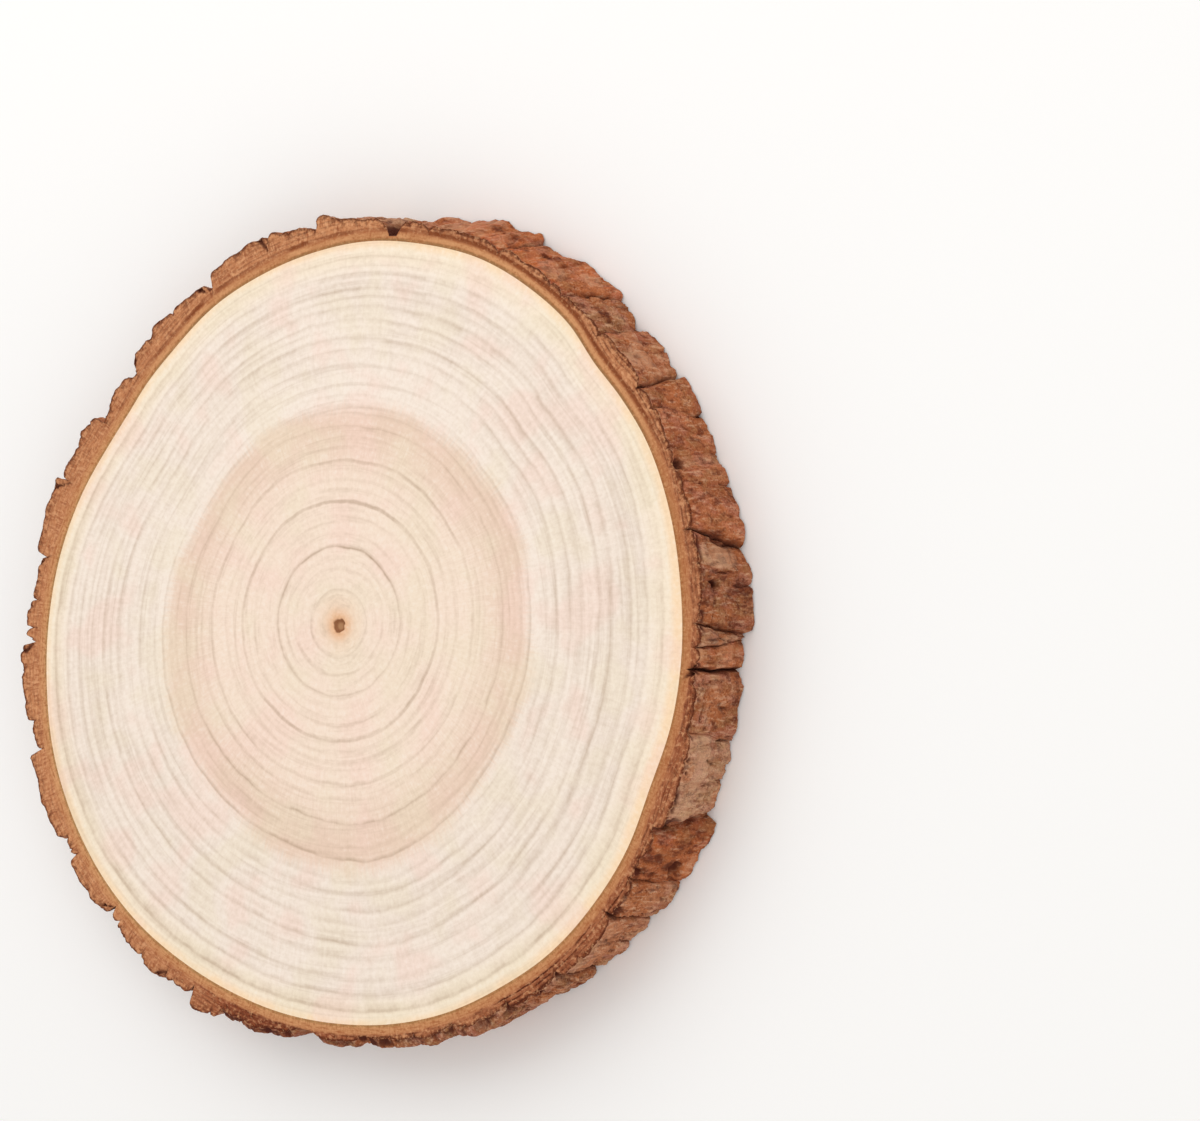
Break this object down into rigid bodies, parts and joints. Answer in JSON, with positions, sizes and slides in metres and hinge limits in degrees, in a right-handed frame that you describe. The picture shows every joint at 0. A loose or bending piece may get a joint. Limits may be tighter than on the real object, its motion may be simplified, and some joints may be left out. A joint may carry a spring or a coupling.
{
  "type": "wood slice",
  "caption": "Round slice sawn straight across a small trunk, with a pale sanded face, growth rings and a cracked ring of bark left on.",
  "frame": {"origin": "middle of the slice's outer box, on the lower sawn face that it rests on", "axes": "+Z along the trunk, up through the upper sawn face; +X towards the side whose bark shows in the reference view, +Y up in that view"},
  "size_m": [0.1944, 0.1906, 0.018],
  "materials": {
    "wood": "sawn and sanded end grain, unfinished",
    "bark": "rough dry bark"
  },
  "bodies": {
    "root": {"wood_disc": "wood", "bark_ring": "bark"}
  },
  "joints": []
}
